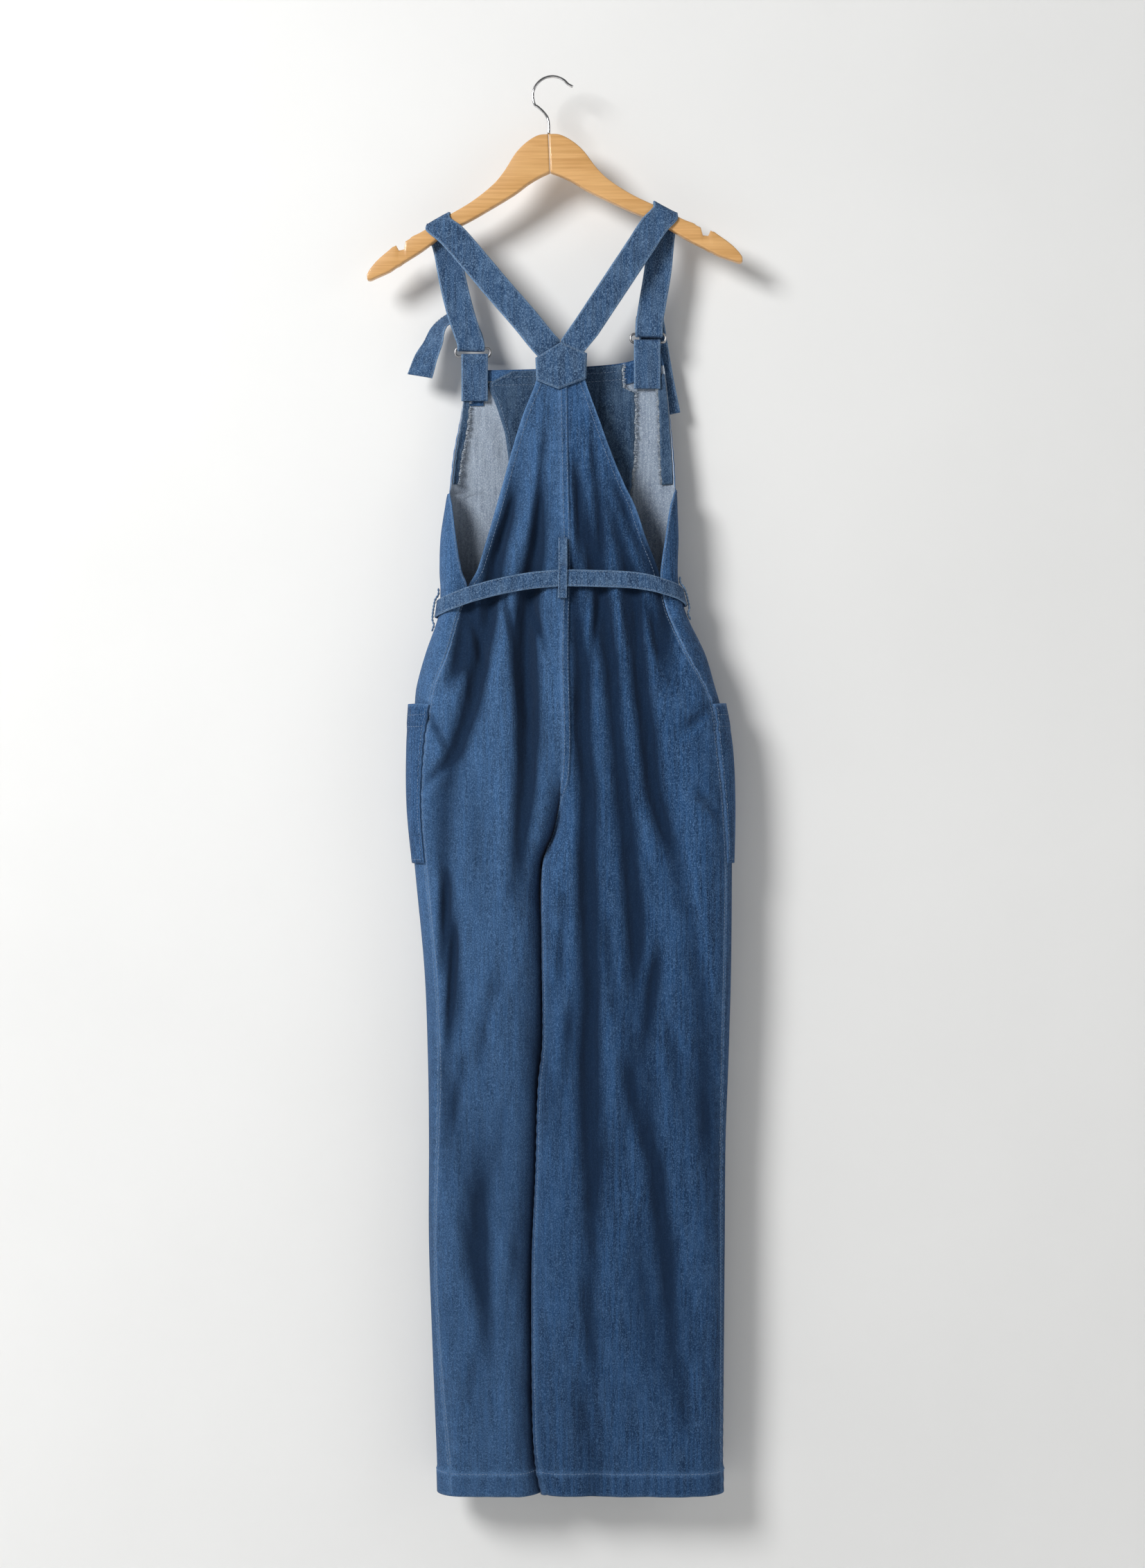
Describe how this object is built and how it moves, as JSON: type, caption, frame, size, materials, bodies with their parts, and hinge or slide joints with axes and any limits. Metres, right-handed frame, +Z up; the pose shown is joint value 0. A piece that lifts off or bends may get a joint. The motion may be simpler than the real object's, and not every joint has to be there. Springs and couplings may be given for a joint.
{
  "type": "overalls on a hanger",
  "caption": "Denim overalls with crossed back straps, ring-held bib tabs and a narrow belt, hanging on a wooden hanger.",
  "frame": {"origin": "top of the hook's inner curve, where a rail or wall hook carries it", "axes": "+Z up, -Y faces the garment's back, +Y its front, +X is the wearer's right"},
  "size_m": [0.4218, 0.0792, 1.5933],
  "materials": {
    "denim": "mid-blue slubby denim twill",
    "denim_inside": "pale grey-blue wrong side of denim",
    "ring_metal": "polished wire",
    "chrome": "polished wire",
    "wood": "clear varnished beech"
  },
  "bodies": {
    "root": {"back_left": "denim", "back_right": "denim", "front_left": "denim", "front_right": "denim", "bib_facing": "denim", "armhole_facing_left": "denim", "armhole_facing_right": "denim", "tab_patch_left": "denim", "tab_patch_right": "denim", "tab_left": "denim", "tab_right": "denim", "pocket_left": "denim", "pocket_right": "denim", "strap_left": "denim", "strap_right": "denim", "yoke_patch": "denim", "belt": "denim", "belt_loop_back": "denim", "belt_loop_left": "denim", "belt_loop_right": "denim", "ring_left_1": "ring_metal", "ring_left_2": "ring_metal", "ring_right_1": "ring_metal", "ring_right_2": "ring_metal", "hanger_arm_left": "wood", "hanger_arm_right": "wood", "hanger_hook": "chrome"}
  },
  "joints": []
}
